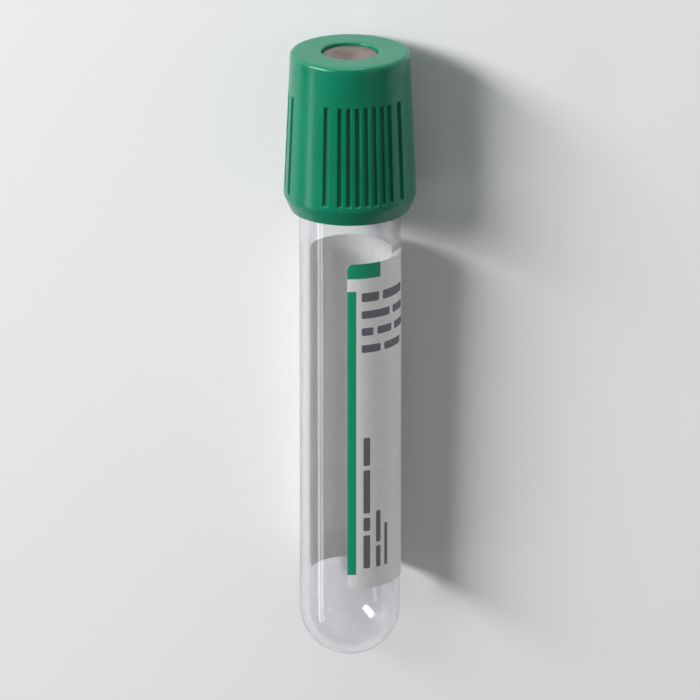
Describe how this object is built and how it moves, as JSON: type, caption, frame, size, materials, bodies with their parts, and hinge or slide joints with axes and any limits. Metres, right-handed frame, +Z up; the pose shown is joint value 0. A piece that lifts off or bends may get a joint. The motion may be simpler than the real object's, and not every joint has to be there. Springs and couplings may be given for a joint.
{
  "type": "blood collection tube",
  "caption": "Clear round-bottomed plastic sample tube with a paper label and a green ribbed push-on closure over a rubber stopper, lying on its side.",
  "frame": {"origin": "on the bench the tube lies on, under the middle of its overall length", "axes": "+X along the bench from the round bottom to the closure, +Z up; the tube's axis rises 2.03 degrees towards the closure"},
  "size_m": [0.0818, 0.017, 0.017],
  "materials": {
    "clear_plastic": "clear, polished PET",
    "green_plastic": "glossy moulded polypropylene",
    "rubber": "matt butyl rubber",
    "label_paper": "semi-gloss coated paper"
  },
  "bodies": {
    "tube_body": {"tube": "clear_plastic", "paper_label": "label_paper"},
    "closure": {"shield": "green_plastic", "stopper": "rubber"}
  },
  "joints": [
    {"name": "closure_pull", "type": "slide", "parent": "tube_body", "child": "closure", "axis": [0.9994, 0, 0.0355], "range_m": [0, 0.03]}
  ]
}
